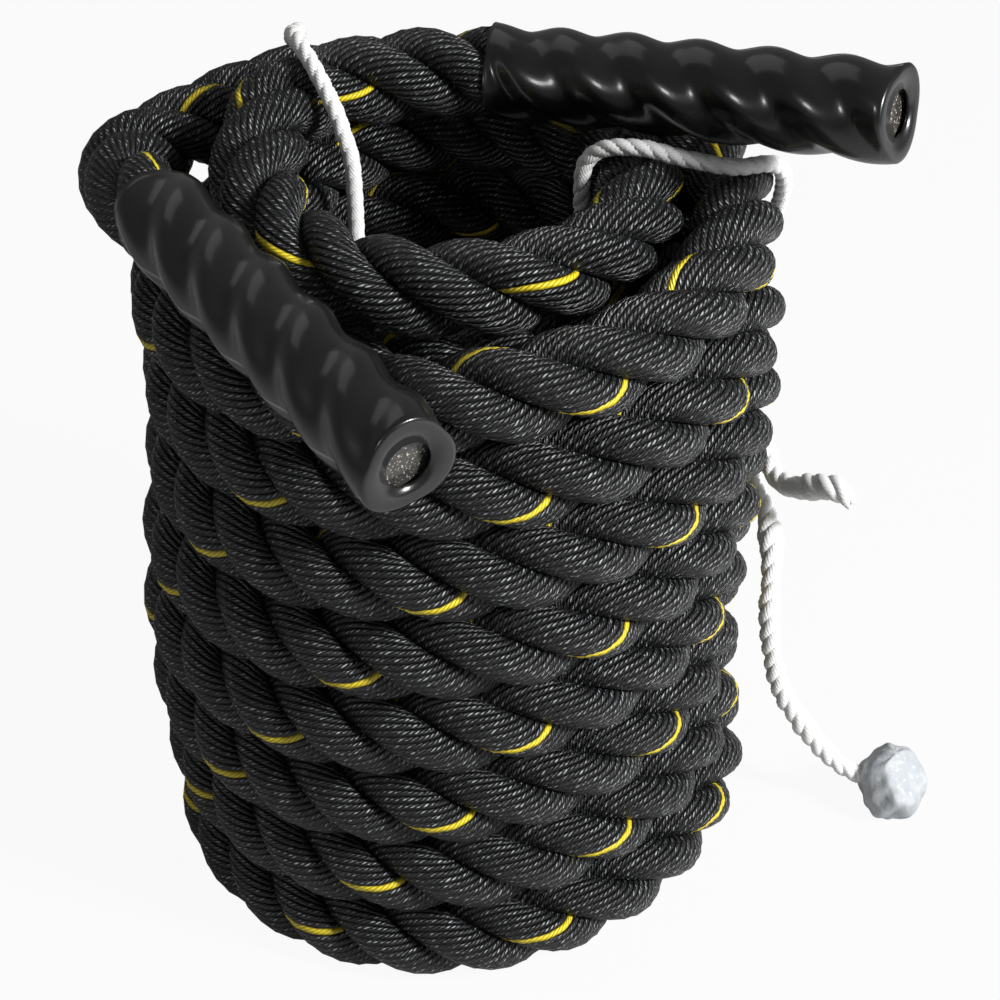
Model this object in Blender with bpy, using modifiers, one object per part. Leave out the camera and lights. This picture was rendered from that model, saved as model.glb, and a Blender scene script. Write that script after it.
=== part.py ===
"""Battle rope: about 15 m of three-strand polyester rope, 50 mm thick, wound by hand into an upright coil
of two layers, with a heat-shrink grip sleeve on each end and two white cord ties.

The rope starts at the left grip, winds down the outer layer, crosses in to the inner layer on the floor and
winds up again to the right grip. The coil's axis is the model's Z axis until the last step, which stands the
whole rope on the centre of its own footprint.
"""

import math

import bmesh
import bpy
import numpy as np
from mathutils import Vector

MM = 0.001
FULL_TURN = 2 * math.pi
CURVE_STEPS = 24

# Rope
ROPE_DIAMETER = 50.8 * MM
STRANDS = 3
LAY_LENGTH = 128 * MM

# Coil. A level is one wrap's height above the wrap below it.
OUTER_RADIUS = 158 * MM
LAYER_GAP = 1.3 * MM
WRAP_GAP = 0.8 * MM
FLOOR_FLAT = ROPE_DIAMETER / 10
OUTER_TURNS = 8
INNER_TURNS = 8
POINTS_PER_TURN = 24
START_STEPS = 6
END_STEPS = 17
CROSSING_ANGLE = math.radians(60)
CROSSING_SPAN_SHARE = 0.5
OUTER_LEVEL_SHARE = 0.5
INNER_LEVEL_SHARE = 0.55
INNER_LEAD_SHARE = 0.007
LOOSE_SIDE_ANGLE = math.radians(-45)
LOOSE_SHARE = 0.03
SETTLE_DEPTH = 4.5 * MM
OUTER_SETTLE_ANGLE = math.radians(35)
INNER_SETTLE_ANGLE = math.radians(85)
SETTLE_REACH = math.radians(60)
START_BULGE = 3 * MM
START_RISE = 6 * MM
BULGE_FROM_ANGLE = math.radians(90)
BULGE_TO_ANGLE = math.radians(135)
END_DRAW_IN = 4 * MM
DRAW_IN_STEPS = 5
START_STRAIGHT = ROPE_DIAMETER
FINISH_STRAIGHT = ROPE_DIAMETER / 4
SWAY = 6 * MM
SWAY_HEIGHT = 330 * MM
COIL_SIDE_RESOLUTION = 1

# Ends of the rope. A route's places are measured from the coil's end: in plan as shares of the coil's outer
# radius, and as rises.
TAIL_POINT_SPACING = 24 * MM
TAIL_SIDE_RESOLUTION = 3
JOINT_GAP = 0.3 * MM
END_STRAIGHT = 9 * MM
LEFT_ROUTE_SHARES = [
    (-0.0443, -0.1709),
    (-0.0253, -0.3481),
    (0.0380, -0.5000),
    (0.1266, -0.6266),
    (0.3418, -0.9367),
    (0.5570, -1.2468),
    (0.7722, -1.5570),
    (1.0063, -1.8924),
]
LEFT_ROUTE_RISES = [2 * MM, 5 * MM, 8.5 * MM, 10.5 * MM, 4.5 * MM, -1.5 * MM, -7.5 * MM, -14 * MM]
RIGHT_ROUTE_SHARES = [
    (0.0570, 0.1139),
    (0.1899, 0.1772),
    (0.3797, 0.2152),
    (0.5886, 0.2342),
    (0.8101, 0.2089),
    (1.0633, 0.0633),
    (1.3228, -0.0886),
    (2.1013, -0.5696),
]
RIGHT_ROUTE_RISES = [2 * MM, 5 * MM, 9.5 * MM, 12 * MM, 14 * MM, 21 * MM, 28 * MM, 47 * MM]

# Grip sleeve: a heat-shrink tube, drawn down into the grooves between the strands
SLEEVE_LENGTH = 245 * MM
SLEEVE_WALL = 1.8 * MM
SLEEVE_CREST_RADIUS = 27.2 * MM
SLEEVE_GROOVE_RADIUS = 23.4 * MM
SLEEVE_POINTS = 18
SLEEVE_STATIONS = 22
SLEEVE_FIT = 0.6 * MM
RIM_LENGTH = 9 * MM
RIM_SWELL_SHARE = 1.035
MOUTH_SWELL_SHARE = 1.02
LIP_THICKNESS = 2 * MM
LIP_HOLE_SHARE = 0.46
FUSED_THICKNESS = 5 * MM
FUSED_RADIUS_SHARE = 0.9

# White ties. Each goes over both layers, down inside the coil, under it in a channel and up outside again.
TIE_DIAMETER = 10 * MM
SLACK_TIE_DIAMETER = 12.5 * MM
TIE_FIT = 1.5 * MM
TIE_POINT_SPACING = 14 * MM
TIE_SIDE_RESOLUTION = 2
TIE_FLOOR_GAP = 2.2 * MM
CHANNEL_CLEARANCE = 0.8 * MM
RIGHT_LEG_ANGLE = math.radians(30)
RIGHT_SHOULDER_ANGLE = math.radians(9)
RIGHT_CREST_ANGLE = math.radians(-4)
RIGHT_INSIDE_ANGLE = math.radians(7)
BACK_LEG_ANGLE = math.radians(121)
BACK_CREST_ANGLE = math.radians(143)
BACK_INSIDE_ANGLE = math.radians(157)
BACK_INSIDE_SLACK = 14 * MM
KNOT_RING_RADIUS = 11 * MM
KNOT_TUBE_RADIUS = 5.6 * MM
KNOT_POINTS = 48
KNOT_LOBES = 3
KNOT_PRESS = 0.45 * MM
RIGHT_KNOT_HEIGHT = 240 * MM
BACK_KNOT_HEIGHT = 250 * MM

# The right tie's loose tails, and the lump of melted yarn on the floor at the end of the long one
SHORT_TAIL_ROUTE = [
    (188.3 * MM, 85.6 * MM, 240 * MM),
    (195 * MM, 71 * MM, 226 * MM),
    (200 * MM, 57 * MM, 214 * MM),
    (209 * MM, 42 * MM, 214 * MM),
    (220 * MM, 28 * MM, 223 * MM),
    (233 * MM, 16 * MM, 230 * MM),
    (243 * MM, 9 * MM, 223 * MM),
]
LONG_TAIL_ROUTE = [
    (184.4 * MM, 87.9 * MM, 223.2 * MM),
    (187.5 * MM, 81 * MM, 206 * MM),
    (192 * MM, 66 * MM, 197 * MM),
    (197.5 * MM, 42 * MM, 189 * MM),
    (198.5 * MM, 18 * MM, 176 * MM),
    (198 * MM, -2 * MM, 138 * MM),
    (207 * MM, -6 * MM, 95 * MM),
    (225 * MM, -10 * MM, 64 * MM),
    (246 * MM, -13 * MM, 38 * MM),
    (265.3 * MM, -15.4 * MM, 24.8 * MM),
]
MELTED_END_SIZE = (40 * MM, 42 * MM, 46 * MM)
MELTED_END_PLACE = (285.6 * MM, -17.7 * MM, 22.3 * MM)
MELTED_END_LUMP_SHARE = 0.07
MELTED_END_RINGS = 10

# Derived sizes of the coil
ROPE_RADIUS = ROPE_DIAMETER / 2
INNER_RADIUS = OUTER_RADIUS - ROPE_DIAMETER - LAYER_GAP
LEVEL_HEIGHT = ROPE_DIAMETER + WRAP_GAP
FLOOR_HEIGHT = ROPE_RADIUS - FLOOR_FLAT
START_TURNS = OUTER_TURNS + START_STEPS / POINTS_PER_TURN
END_TURNS = INNER_TURNS + END_STEPS / POINTS_PER_TURN
TIE_RADIUS = TIE_DIAMETER / 2
TIE_REACH = ROPE_RADIUS + TIE_FIT + TIE_RADIUS
UNDER_HEIGHT = TIE_FLOOR_GAP + TIE_RADIUS
OUTSIDE_RADIUS = OUTER_RADIUS + TIE_REACH
INSIDE_RADIUS = INNER_RADIUS - TIE_REACH


def smooth(share):
    """Eases from 0 to 1, level at both ends."""
    share = min(max(share, 0.0), 1.0)
    return share * share * (3 - 2 * share)


def levels(turns, level_share):
    """Wraps below this one: each wrap lies level first and then climbs over the start of its own turn."""
    whole = math.floor(turns)
    climbed = max(0, (turns - whole - level_share) / (1 - level_share))
    return whole + (climbed + smooth(climbed)) / 2


def settling(angle, centre):
    """How far wraps sink into the room beside the crossing, around one angle."""
    away = abs(math.remainder(angle - centre, FULL_TURN)) / SETTLE_REACH
    return SETTLE_DEPTH * smooth(1 - away)


def on_circle(radius, angle, height):
    """A place round the coil's middle. The coil leans a little to one side and back again as it rises."""
    radius += SWAY * math.cos(FULL_TURN * height / SWAY_HEIGHT) * math.cos(angle)
    return Vector((radius * math.cos(angle), radius * math.sin(angle), height))


def coil_point(turns):
    """The rope's centre, by turns from the middle of the crossing: negative on the outer layer, above zero on
    the inner one. Seen from above the rope runs clockwise."""
    angle = CROSSING_ANGLE - FULL_TURN * turns
    inward = smooth(turns / CROSSING_SPAN_SHARE + 1 / 2)
    radius = OUTER_RADIUS + (INNER_RADIUS - OUTER_RADIUS) * inward
    if turns >= 0:
        level = levels(turns * (1 + INNER_LEAD_SHARE), INNER_LEVEL_SHARE)
        height = LEVEL_HEIGHT * level - settling(angle, INNER_SETTLE_ANGLE) * min(level, 1)
        radius -= END_DRAW_IN * smooth((turns - END_TURNS) * POINTS_PER_TURN / DRAW_IN_STEPS + 1)
    else:
        level = levels(-turns, OUTER_LEVEL_SHARE)
        facing = (1 + math.cos(angle - LOOSE_SIDE_ANGLE)) / 2
        height = LEVEL_HEIGHT * (1 + LOOSE_SHARE * facing) * level
        height -= settling(angle, OUTER_SETTLE_ANGLE) * min(level, 1)
    if -turns > OUTER_TURNS:
        reach = (angle - FULL_TURN * OUTER_TURNS - BULGE_FROM_ANGLE) / (BULGE_TO_ANGLE - BULGE_FROM_ANGLE)
        radius += START_BULGE * smooth(reach)
        height += START_RISE * smooth(reach)
    return on_circle(radius, angle, FLOOR_HEIGHT + height)


def coil_route():
    """The wound rope's centre line, with a straight stretch at both ends."""
    count = round((START_TURNS + END_TURNS) * POINTS_PER_TURN)
    points = [coil_point(i / POINTS_PER_TURN - START_TURNS) for i in range(count + 1)]
    points.insert(0, points[0] + (points[0] - points[1]).normalized() * START_STRAIGHT)
    points.append(points[-1] + (points[-1] - points[-2]).normalized() * FINISH_STRAIGHT)
    return points


def least_gap(points, diameter):
    """The least clear distance between stretches of a tube that lie over two diameters apart along it."""
    line = np.array([tuple(p) for p in points])
    steps = np.linalg.norm(np.diff(line, axis=0), axis=1)
    pieces = [np.linspace(a, b, 6, endpoint=False) for a, b in zip(line[:-1], line[1:])]
    fine = np.concatenate(pieces)
    along = np.concatenate([np.linspace(s, s + d, 6, endpoint=False)
                            for s, d in zip(np.concatenate([[0], np.cumsum(steps)[:-1]]), steps)])
    least = math.inf
    for place, here in zip(fine, along):
        away = np.linalg.norm(fine - place, axis=1)[np.abs(along - here) > 2 * diameter]
        least = min(least, away.min())
    return least - diameter


def smooth_curve(points, start=None, closed=False):
    """Many points along a smooth curve through the route's own points. start is the direction it leaves in."""
    knots = [Vector(p) for p in points]
    if closed:
        knots = knots[-1:] + knots + knots[:2]
    else:
        before = knots[0] - start * (knots[1] - knots[0]).length if start else 2 * knots[0] - knots[1]
        knots = [before] + knots + [2 * knots[-1] - knots[-2]]
    fine = []
    for a, b, c, d in zip(knots, knots[1:], knots[2:], knots[3:]):
        for i in range(CURVE_STEPS):
            t = i / CURVE_STEPS
            fine.append((2 * b + (c - a) * t + (2 * a - 5 * b + 4 * c - d) * t * t
                         + (3 * b - a - 3 * c + d) * t ** 3) / 2)
    fine.append(knots[-2])
    return fine


def lengths_along(points):
    along = [0.0]
    for a, b in zip(points, points[1:]):
        along.append(along[-1] + (b - a).length)
    return along


def point_at(points, along, distance):
    distance = min(max(distance, 0.0), along[-1])
    for i in range(len(points) - 1):
        if along[i + 1] >= distance:
            share = (distance - along[i]) / (along[i + 1] - along[i])
            return points[i].lerp(points[i + 1], share)
    return points[-1]


def stretch(points, start, end, count):
    """count + 1 evenly spaced points on a route between two distances along it."""
    along = lengths_along(points)
    return [point_at(points, along, start + (end - start) * i / count) for i in range(count + 1)]


def material(name, colour, roughness):
    surface = bpy.data.materials.new(name)
    surface.use_nodes = True
    shader = surface.node_tree.nodes["Principled BSDF"]
    shader.inputs["Base Color"].default_value = (*colour, 1)
    shader.inputs["Roughness"].default_value = roughness
    shader.inputs["Metallic"].default_value = 0
    return surface


def curve_data(name, points, cyclic=False):
    data = bpy.data.curves.new(name, "CURVE")
    data.dimensions = "3D"
    data.twist_mode = "Z_UP"
    spline = data.splines.new("POLY")
    spline.points.add(len(points) - 1)
    for point, place in zip(spline.points, points):
        point.co = (*place, 1)
    spline.use_cyclic_u = cyclic
    return data


def add(name, data, surface, collection):
    part = bpy.data.objects.new(name, data)
    data.materials.append(surface)
    collection.objects.link(part)
    return part


def tube(name, points, diameter, resolution, surface, collection, cyclic=False):
    data = curve_data(name, points, cyclic)
    data.bevel_depth = diameter / 2
    data.bevel_resolution = resolution
    data.use_fill_caps = not cyclic
    return add(name, data, surface, collection)


def to_mesh(part):
    """Turns a curve object into a mesh object of the same name, with its caps welded on."""
    bpy.context.view_layer.update()
    mesh = bpy.data.meshes.new_from_object(part.evaluated_get(bpy.context.evaluated_depsgraph_get()))
    shape = bmesh.new()
    shape.from_mesh(mesh)
    bmesh.ops.remove_doubles(shape, verts=shape.verts, dist=MM / 100)
    bmesh.ops.recalc_face_normals(shape, faces=shape.faces)
    shape.to_mesh(mesh)
    shape.free()
    name, collection, place = part.name, part.users_collection[0], part.matrix_world.copy()
    bpy.data.objects.remove(part)
    solid = bpy.data.objects.new(name, mesh)
    solid.matrix_world = place
    collection.objects.link(solid)
    return solid


def lobed_profile(name, crest, groove):
    """A closed outline with one round lobe for each strand, swept along a grip."""
    outline = []
    for i in range(SLEEVE_POINTS):
        angle = FULL_TURN * i / SLEEVE_POINTS
        radius = groove + (crest - groove) * abs(math.cos(STRANDS * angle / 2))
        outline.append((radius * math.cos(angle), radius * math.sin(angle), 0))
    profile = bpy.data.objects.new(name, curve_data(name, outline, cyclic=True))
    cutters.objects.link(profile)
    profile.hide_render = True
    profile.display_type = "WIRE"
    return profile


def lobed_sweep(name, points, places, shares, profile, surface, caps):
    """Sweeps a lobed outline through points. places are their distances along the rope, shares the outline's
    size there. The lobes turn once in each lay length, as the strands beneath them do, but not in the first
    step, which keeps the mouth square."""
    data = curve_data(name, points)
    for point, place, share in zip(data.splines[0].points, places, shares):
        point.radius = share
        point.tilt = -FULL_TURN * max(place, places[1]) / LAY_LENGTH
    data.bevel_mode = "OBJECT"
    data.bevel_object = profile
    data.use_fill_caps = caps
    return to_mesh(add(name, data, surface, parts))


def box_cutter(name, size, centre, turn):
    bpy.ops.mesh.primitive_cube_add(size=1, location=centre, rotation=(0, 0, turn))
    cutter = bpy.context.object
    cutter.name = name
    cutter.scale = size
    for owner in cutter.users_collection:
        owner.objects.unlink(cutter)
    cutters.objects.link(cutter)
    cutter.hide_render = True
    cutter.display_type = "WIRE"
    return cutter


def cut(part, cutter):
    difference = part.modifiers.new(cutter.name, "BOOLEAN")
    difference.operation = "DIFFERENCE"
    difference.solver = "EXACT"
    difference.object = cutter


def top_height(angle, outside):
    """Height of the rope's centre in the top wrap of one layer, at an angle from below to above zero."""
    turns_on = (angle - CROSSING_ANGLE) / FULL_TURN
    if outside:
        return coil_point(-(OUTER_TURNS + turns_on)).z
    return coil_point(INNER_TURNS - turns_on).z


def right_tie_points():
    """The right tie's loop as radius, angle and height, up the outside and over towards the hole."""
    outer = top_height(RIGHT_CREST_ANGLE, True)
    inner = top_height(RIGHT_CREST_ANGLE, False)
    halfway = (OUTER_RADIUS + INNER_RADIUS) / 2
    return [
        (OUTSIDE_RADIUS, RIGHT_LEG_ANGLE, ROPE_RADIUS),
        (OUTSIDE_RADIUS, RIGHT_LEG_ANGLE, RIGHT_KNOT_HEIGHT),
        (OUTSIDE_RADIUS, RIGHT_LEG_ANGLE, (RIGHT_KNOT_HEIGHT + SWAY_HEIGHT) / 2),
        (OUTSIDE_RADIUS, RIGHT_LEG_ANGLE, SWAY_HEIGHT),
        (OUTSIDE_RADIUS, (RIGHT_LEG_ANGLE + RIGHT_SHOULDER_ANGLE) / 2, outer - 2 * ROPE_RADIUS),
        (OUTSIDE_RADIUS, RIGHT_SHOULDER_ANGLE, outer),
        (OUTER_RADIUS + TIE_REACH * 3 / 4, RIGHT_SHOULDER_ANGLE / 3, outer + TIE_REACH * 3 / 4),
        (OUTER_RADIUS, RIGHT_CREST_ANGLE, outer + TIE_REACH),
        (halfway, RIGHT_CREST_ANGLE, (outer + inner) / 2 + TIE_REACH),
        (INNER_RADIUS, RIGHT_CREST_ANGLE / 2, inner + TIE_REACH),
        (INNER_RADIUS - TIE_REACH * 3 / 4, RIGHT_INSIDE_ANGLE / 2, inner + TIE_REACH * 3 / 4),
        (INSIDE_RADIUS, RIGHT_INSIDE_ANGLE, inner - TIE_RADIUS),
        (INSIDE_RADIUS, RIGHT_INSIDE_ANGLE, SWAY_HEIGHT),
        (INSIDE_RADIUS, RIGHT_INSIDE_ANGLE, SWAY_HEIGHT / 2),
        (INSIDE_RADIUS, RIGHT_INSIDE_ANGLE, ROPE_RADIUS),
    ]


def back_tie_points(end):
    """The back tie's loop in the same terms. It goes over the end of the inner layer and hangs slack inside."""
    outer = top_height(BACK_LEG_ANGLE, True)
    outside = OUTSIDE_RADIUS + START_BULGE
    end_radius = math.hypot(end.x, end.y)
    crest = end.z + TIE_REACH + TIE_RADIUS
    hanging = INSIDE_RADIUS - BACK_INSIDE_SLACK
    return [
        (outside, BACK_LEG_ANGLE, ROPE_RADIUS),
        (outside, BACK_LEG_ANGLE, SWAY_HEIGHT / 2),
        (outside, BACK_LEG_ANGLE, BACK_KNOT_HEIGHT),
        (outside, BACK_LEG_ANGLE, outer),
        (outside - TIE_REACH / 4, BACK_LEG_ANGLE, outer + TIE_REACH * 3 / 4),
        (outside - TIE_REACH, (3 * BACK_LEG_ANGLE + BACK_CREST_ANGLE) / 4, outer + TIE_REACH),
        (end_radius + TIE_REACH * 3 / 4, (BACK_LEG_ANGLE + BACK_CREST_ANGLE) / 2, (outer + TIE_REACH + crest) / 2),
        (end_radius, BACK_CREST_ANGLE, crest),
        (end_radius - TIE_REACH * 3 / 4, (BACK_CREST_ANGLE + BACK_INSIDE_ANGLE) / 2, crest - TIE_REACH / 4),
        (hanging + TIE_RADIUS / 2, BACK_INSIDE_ANGLE, end.z),
        (hanging, BACK_INSIDE_ANGLE, outer - ROPE_RADIUS),
        (hanging, BACK_INSIDE_ANGLE, outer / 2),
        (INSIDE_RADIUS, BACK_INSIDE_ANGLE, ROPE_RADIUS),
    ]


def under_points(inside, outside):
    """A tie's run under the coil, between the feet of its two legs."""
    foot_in = Vector((inside.x, inside.y, UNDER_HEIGHT))
    foot_out = Vector((outside.x, outside.y, UNDER_HEIGHT))
    width = (foot_out - foot_in).length
    return [foot_in.lerp(foot_out, place / width) for place in
            (TIE_DIAMETER, width / 3, 2 * width / 3, width - TIE_DIAMETER)]


def knot_points(centre, outward):
    """A closed overhand knot, as a trefoil that lies against the coil."""
    points = []
    for i in range(KNOT_POINTS):
        t = FULL_TURN * i / KNOT_POINTS
        ring = KNOT_RING_RADIUS + KNOT_TUBE_RADIUS * math.cos(KNOT_LOBES * t)
        sideways = Vector((-outward.y, outward.x, 0)) * ring * math.cos(2 * t)
        upward = Vector((0, 0, ring * math.sin(2 * t)))
        points.append(centre + sideways + upward + outward * KNOT_TUBE_RADIUS * math.sin(KNOT_LOBES * t))
    return points


for old in list(bpy.data.objects):
    bpy.data.objects.remove(old)
parts = bpy.data.collections.new("battle_rope")
cutters = bpy.data.collections.new("cutters")
bpy.context.scene.collection.children.link(parts)
bpy.context.scene.collection.children.link(cutters)

rope_yarn = material("rope_yarn", (0.018, 0.019, 0.021), 0.6)
shrink_tube = material("shrink_tube", (0.012, 0.013, 0.013), 0.18)
fused_yarn = material("fused_yarn", (0.05, 0.05, 0.05), 0.25)
tie_yarn = material("tie_yarn", (0.82, 0.82, 0.80), 0.7)
melted_yarn = material("melted_yarn", (0.55, 0.58, 0.60), 0.5)


def make_coil():
    route = coil_route()
    print(f"rope_coil: {START_TURNS + END_TURNS:.2f} turns, {lengths_along(route)[-1]:.3f} m, "
          f"least gap to itself {least_gap(route, ROPE_DIAMETER) / MM:.2f} mm")
    coil = to_mesh(tube("rope_coil", route, ROPE_DIAMETER, COIL_SIDE_RESOLUTION, rope_yarn, parts))
    floor_size = 3 * (OUTER_RADIUS + ROPE_DIAMETER)
    cut(coil, box_cutter("floor_cutter", (floor_size, floor_size, ROPE_DIAMETER),
                         (0, 0, -ROPE_DIAMETER / 2), 0))
    return coil, route


def make_tie(side, stations, knot_height, coil):
    """A closed loop of cord round both layers, the channel that it passes under them in, and its knot."""
    loop = [on_circle(*station) for station in stations]
    under = under_points(loop[-1], loop[0])
    fine = smooth_curve(loop + under, closed=True)
    length = lengths_along(fine)[-1]
    count = round(length / TIE_POINT_SPACING)
    tube(f"tie_{side}", stretch(fine, 0, length, count)[:-1], TIE_DIAMETER, TIE_SIDE_RESOLUTION, tie_yarn,
         parts, cyclic=True)
    along = under[-1] - under[0]
    size = (along.length + 2 * ROPE_RADIUS, TIE_DIAMETER + 2 * CHANNEL_CLEARANCE,
            2 * (UNDER_HEIGHT + TIE_RADIUS + CHANNEL_CLEARANCE))
    middle = (under[0] + under[-1]) / 2
    cut(coil, box_cutter(f"tie_channel_{side}", size, (middle.x, middle.y, 0), math.atan2(along.y, along.x)))
    radius, angle, _ = stations[0]
    outward = Vector((math.cos(angle), math.sin(angle), 0))
    centre = on_circle(radius + KNOT_TUBE_RADIUS + TIE_DIAMETER - KNOT_PRESS, angle, knot_height)
    tube(f"tie_{side}_knot", knot_points(centre, outward), TIE_DIAMETER, TIE_SIDE_RESOLUTION, tie_yarn, parts,
         cyclic=True)
    print(f"tie_{side}: loop {length:.3f} m")


def make_tail(name, points):
    fine = smooth_curve(points)
    length = lengths_along(fine)[-1]
    tube(name, stretch(fine, 0, length, round(length / TIE_POINT_SPACING)), SLACK_TIE_DIAMETER,
         TIE_SIDE_RESOLUTION, tie_yarn, parts)
    print(f"{name}: {length:.3f} m")


def make_melted_end():
    """A lump of melted yarn, an uneven ball."""
    mesh = bpy.data.meshes.new("tie_melted_end")
    shape = bmesh.new()
    bmesh.ops.create_uvsphere(shape, u_segments=2 * MELTED_END_RINGS, v_segments=MELTED_END_RINGS, radius=0.5)
    for vertex in shape.verts:
        x, y, z = vertex.co * 2
        lump = math.sin(3 * x + 2 * y) * math.cos(4 * z + y) * math.cos(3 * y - 1)
        vertex.co *= 1 - MELTED_END_LUMP_SHARE * (1 + lump)
        vertex.co.x *= MELTED_END_SIZE[0]
        vertex.co.y *= MELTED_END_SIZE[1]
        vertex.co.z *= MELTED_END_SIZE[2]
    shape.to_mesh(mesh)
    shape.free()
    mesh.shade_smooth()
    add("tie_melted_end", mesh, melted_yarn, parts).location = MELTED_END_PLACE


def make_end(side, start, leaving, shares, rises):
    """One free end of the rope: the bare tail, then the rope's end in its sleeve and the fused tip. The rope
    runs straight for a little on both sides of each face, so that the faces meet square."""
    places = [start]
    for (x, y), rise in zip(shares, rises):
        places.append(start + Vector((x * OUTER_RADIUS, y * OUTER_RADIUS, rise)))
    route = smooth_curve(places, start=leaving)
    along = lengths_along(route)
    total = along[-1]
    mouth = total - SLEEVE_LENGTH
    centre = point_at(route, along, mouth)
    ahead = (point_at(route, along, mouth + END_STRAIGHT) - point_at(route, along, mouth - END_STRAIGHT))
    ahead.normalize()

    tail = stretch(route, END_STRAIGHT, mouth - END_STRAIGHT, max(1, round(mouth / TAIL_POINT_SPACING)))
    tail[0] = start + leaving * END_STRAIGHT
    tail[-1] = centre - ahead * END_STRAIGHT
    tube(f"rope_tail_{side}", [start + leaving * JOINT_GAP] + tail + [centre], ROPE_DIAMETER,
         TAIL_SIDE_RESOLUTION, rope_yarn, parts)

    first = mouth + JOINT_GAP
    tip = total - LIP_THICKNESS
    rim = [tip - RIM_LENGTH / 4, tip, tip + LIP_THICKNESS / 2, total]
    rim_shares = [RIM_SWELL_SHARE, RIM_SWELL_SHARE, (RIM_SWELL_SHARE + LIP_HOLE_SHARE) / 2, LIP_HOLE_SHARE]
    fused_front = tip - SLEEVE_WALL - JOINT_GAP
    fused_back = fused_front - FUSED_THICKNESS
    fused = [fused_back, fused_front - FUSED_THICKNESS / 2, fused_front]
    fused_shares = [FUSED_RADIUS_SHARE, FUSED_RADIUS_SHARE, FUSED_RADIUS_SHARE * FUSED_RADIUS_SHARE]

    def on_route(places):
        points = [point_at(route, along, place) for place in places]
        if places[0] == first:
            points[:2] = [centre + ahead * (place - mouth) for place in places[:2]]
        return points

    places = [first + (tip - RIM_LENGTH - first) * i / SLEEVE_STATIONS for i in range(SLEEVE_STATIONS + 1)]
    shares = [MOUTH_SWELL_SHARE, MOUTH_SWELL_SHARE] + [1.0] * (SLEEVE_STATIONS - 1)
    outside = lobed_profile(f"sleeve_profile_{side}", SLEEVE_CREST_RADIUS, SLEEVE_GROOVE_RADIUS)
    sleeve = lobed_sweep(f"grip_sleeve_{side}", on_route(places + rim), places + rim, shares + rim_shares,
                         outside, shrink_tube, False)
    wall = sleeve.modifiers.new("wall", "SOLIDIFY")
    wall.thickness = SLEEVE_WALL
    wall.offset = -1

    shrunk = SLEEVE_WALL + SLEEVE_FIT
    inside = lobed_profile(f"core_profile_{side}", SLEEVE_CREST_RADIUS - shrunk,
                           SLEEVE_GROOVE_RADIUS - shrunk)
    core = places + [fused_back - JOINT_GAP]
    lobed_sweep(f"rope_end_{side}", on_route(core), core, [1.0] * len(core), inside, rope_yarn, True)
    lobed_sweep(f"fused_end_{side}", on_route(fused), fused, fused_shares, inside, fused_yarn, True)
    add_pivot(side, centre, ahead)
    print(f"{side} end: tail {mouth:.4f} m, to the tip {total:.4f} m")


def add_pivot(side, centre, ahead):
    """The grip lifts about a level line across the top of its sleeve's mouth."""
    hinge = Vector((ahead.y, -ahead.x, 0)).normalized()
    pivot = bpy.data.objects.new(f"{side}_grip_pivot", None)
    pivot.location = centre + hinge.cross(ahead) * SLEEVE_CREST_RADIUS * MOUTH_SWELL_SHARE
    parts.objects.link(pivot)
    for name in (f"grip_sleeve_{side}", f"rope_end_{side}", f"fused_end_{side}"):
        moving = bpy.data.objects[name]
        moving.parent = pivot
        moving.location = -pivot.location
    print(f"{side} hinge axis {tuple(round(v, 6) for v in hinge)}")


def stand_on_footprint():
    """Moves everything so that the origin is the middle of the bottom of the whole rope's box."""
    bpy.context.view_layer.update()
    lowest, highest = np.full(3, math.inf), np.full(3, -math.inf)
    depsgraph = bpy.context.evaluated_depsgraph_get()
    for part in parts.objects:
        if part.type == "EMPTY":
            continue
        evaluated = part.evaluated_get(depsgraph)
        corners = [tuple(part.matrix_world @ v.co) for v in evaluated.to_mesh().vertices]
        lowest = np.minimum(lowest, np.min(corners, axis=0))
        highest = np.maximum(highest, np.max(corners, axis=0))
        evaluated.to_mesh_clear()
    shift = Vector((-(lowest[0] + highest[0]) / 2, -(lowest[1] + highest[1]) / 2, -lowest[2]))
    for item in list(parts.objects) + list(cutters.objects):
        if item.parent is None:
            item.location += shift
    print(f"box {tuple((highest - lowest).round(4))}, coil's axis at {tuple(round(v, 5) for v in shift)}")
    for item in parts.objects:
        if item.type == "EMPTY":
            print(f"{item.name} at {tuple(round(v, 6) for v in item.location)}")


coil, coil_line = make_coil()
make_end("left", coil_line[0], (coil_line[0] - coil_line[1]).normalized(), LEFT_ROUTE_SHARES,
         LEFT_ROUTE_RISES)
make_end("right", coil_line[-1], (coil_line[-1] - coil_line[-2]).normalized(), RIGHT_ROUTE_SHARES,
         RIGHT_ROUTE_RISES)
make_tie("right", right_tie_points(), RIGHT_KNOT_HEIGHT, coil)
make_tie("back", back_tie_points(coil_line[-1]), BACK_KNOT_HEIGHT, coil)
make_tail("tie_short_tail", SHORT_TAIL_ROUTE)
make_tail("tie_long_tail", LONG_TAIL_ROUTE)
make_melted_end()
stand_on_footprint()
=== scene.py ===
"""The looks of a battle rope: a thick black three-strand rope in an upright coil, with glossy shrink-tube
grips and white cord ties. Lengths are in metres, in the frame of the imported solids."""

import math

import bpy
import numpy as np
from mathutils import Euler, Matrix, Vector


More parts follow.
